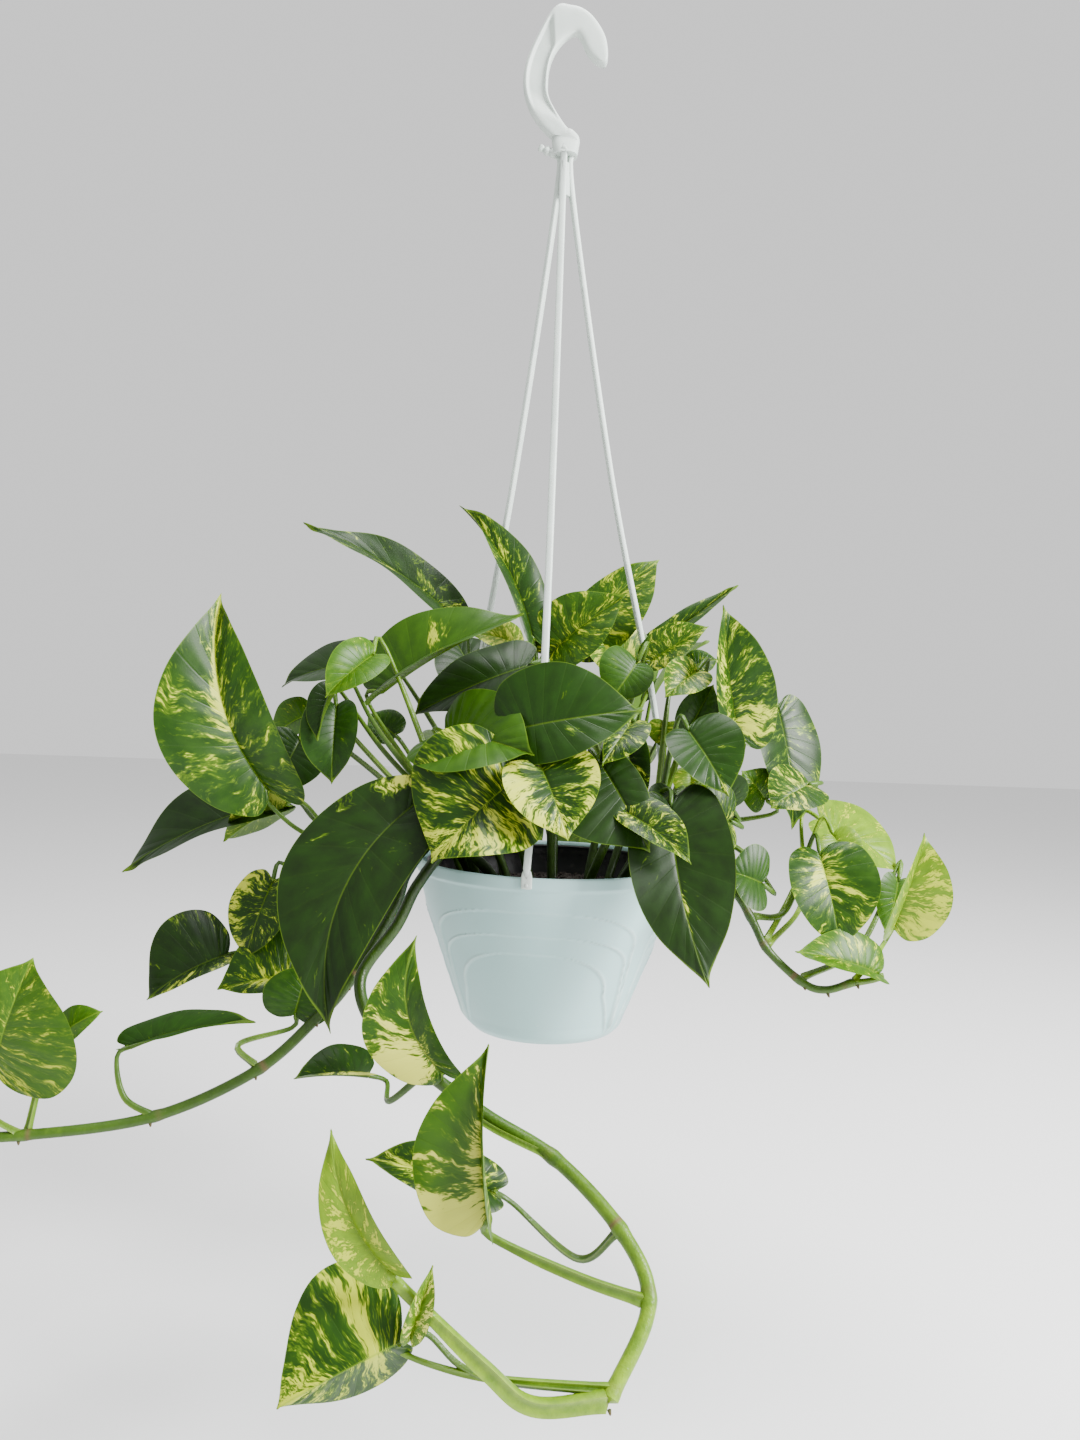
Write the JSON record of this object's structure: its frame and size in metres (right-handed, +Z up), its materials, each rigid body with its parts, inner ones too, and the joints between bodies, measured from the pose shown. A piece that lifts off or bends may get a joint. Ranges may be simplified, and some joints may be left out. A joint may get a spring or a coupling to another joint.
{
  "type": "potted golden pothos in a hanging pot",
  "caption": "Trailing golden pothos with heart-shaped leaves, rooted in soil in a grower's pot inside a round plastic pot that hangs from a moulded hook with straps.",
  "frame": {"origin": "seat of the hook: the lowest point of the inside of its bend, where it rests on what holds the pot up", "axes": "+Z up along the hanger, -Y towards the viewer at the front, +X to the viewer's right"},
  "size_m": [0.6076, 0.4269, 0.8159],
  "materials": {
    "pot_plastic": "satin",
    "liner_plastic": "satin",
    "hanger_plastic": "satin",
    "potting_soil": "rough",
    "pothos_leaf": "satin"
  },
  "bodies": {
    "root": {"pot_shell": "pot_plastic", "liner_pot": "liner_plastic", "potting_soil": "potting_soil", "hanger": "hanger_plastic", "vine_left": "pothos_leaf", "vine_front": "pothos_leaf", "vine_right": "pothos_leaf", "stem_left": "pothos_leaf", "stem_left_front": "pothos_leaf", "stem_top_left": "pothos_leaf", "stem_centre_front": "pothos_leaf", "stem_centre_back": "pothos_leaf", "stem_top_right": "pothos_leaf", "stem_right_front": "pothos_leaf", "stem_right": "pothos_leaf", "stem_right_outer": "pothos_leaf", "stem_back_right": "pothos_leaf", "stem_back": "pothos_leaf", "stem_back_left": "pothos_leaf"}
  },
  "joints": []
}
